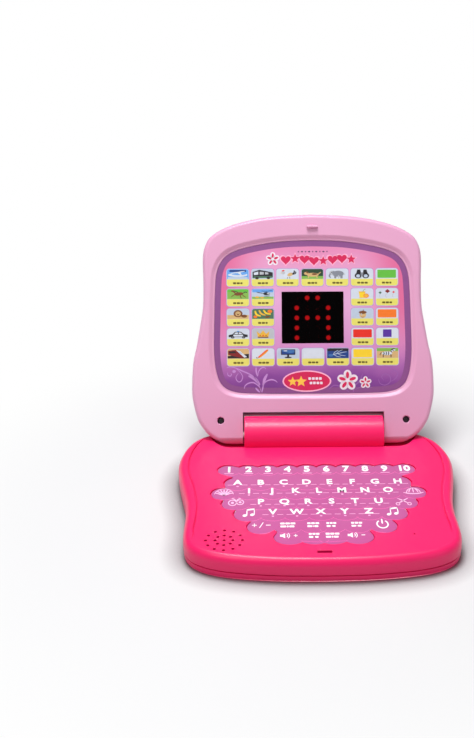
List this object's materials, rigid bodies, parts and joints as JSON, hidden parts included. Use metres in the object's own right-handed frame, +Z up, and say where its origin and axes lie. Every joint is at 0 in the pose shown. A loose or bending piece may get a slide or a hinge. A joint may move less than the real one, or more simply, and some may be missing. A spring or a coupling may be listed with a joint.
{
  "type": "toy laptop computer",
  "caption": "Child's clamshell learning laptop: lobed base with film keypad and speaker grille, hinged lid with picture panel and LED window.",
  "frame": {"origin": "middle of the flat underside of the base, on the floor", "axes": "+X to the right of the user, +Y away from the user towards the hinge, +Z up"},
  "size_m": [0.25, 0.3132, 0.214],
  "materials": {
    "shell_pink": "smooth satin",
    "lid_pink": "smooth satin",
    "keypad_print": "printed film, satin",
    "foil": "clear switch foil with printed tracks",
    "panel_print": "printed sheet, glossy",
    "window_black": "smoked, glossy",
    "led_lit": "clear red lens, lit",
    "led_dark": "clear red lens, unlit",
    "board_green": "solder mask",
    "resin_black": "poured resin",
    "can_grey": "sleeved can",
    "steel": "plated",
    "pin_plastic": "moulded",
    "cable_grey": "cable jacket",
    "wire_red": "wire jacket",
    "wire_black": "wire jacket",
    "speaker_paper": "pressed paper cone",
    "cell_wrap": "shrink label"
  },
  "bodies": {
    "base": {"base_bottom_shell": "shell_pink", "base_screw_1": "steel", "base_screw_2": "steel", "base_screw_3": "steel", "base_screw_4": "steel", "base_screw_5": "steel", "base_screw_6": "steel", "base_top_shell": "shell_pink", "battery_1": "cell_wrap", "battery_2": "cell_wrap", "battery_3": "cell_wrap", "battery_wire_black": "wire_black", "battery_wire_red": "wire_red", "board_screw": "steel", "capacitor": "can_grey", "chip_blob": "resin_black", "contact_link_1": "steel", "contact_link_2": "steel", "contact_negative": "steel", "contact_positive": "steel", "display_cable_base": "cable_grey", "keypad_membrane": "foil", "keypad_overlay": "keypad_print", "main_board": "board_green", "speaker_cable": "wire_black", "speaker_cone": "speaker_paper", "speaker_frame": "steel", "speaker_magnet": "steel"},
    "lid": {"display_cable_lid": "cable_grey", "hinge_pin_left": "pin_plastic", "hinge_pin_right": "pin_plastic", "led_board": "board_green", "led_r1c1": "led_dark", "led_r1c2": "led_lit", "led_r1c3": "led_lit", "led_r1c4": "led_dark", "led_r2c1": "led_lit", "led_r2c2": "led_dark", "led_r2c3": "led_dark", "led_r2c4": "led_lit", "led_r3c1": "led_lit", "led_r3c2": "led_lit", "led_r3c3": "led_lit", "led_r3c4": "led_lit", "led_r4c1": "led_lit", "led_r4c2": "led_dark", "led_r4c3": "led_dark", "led_r4c4": "led_lit", "led_r5c1": "led_lit", "led_r5c2": "led_dark", "led_r5c3": "led_dark", "led_r5c4": "led_lit", "led_window": "window_black", "lid_back": "lid_pink", "lid_front": "lid_pink", "lid_screw_left": "steel", "lid_screw_right": "steel", "screen_panel": "panel_print"},
    "battery_door": {"battery_door": "shell_pink", "battery_door_screw": "steel"}
  },
  "joints": [
    {"name": "lid_hinge", "type": "hinge", "parent": "base", "child": "lid", "pos_m": [0, 0.096, 0.026], "axis": [1, 0, 0], "range_deg": [0, 116.2]},
    {"name": "battery_door_hinge", "type": "hinge", "parent": "base", "child": "battery_door", "pos_m": [0, 0.022, 0], "axis": [-1, 0, 0], "range_deg": [0, 70]}
  ]
}
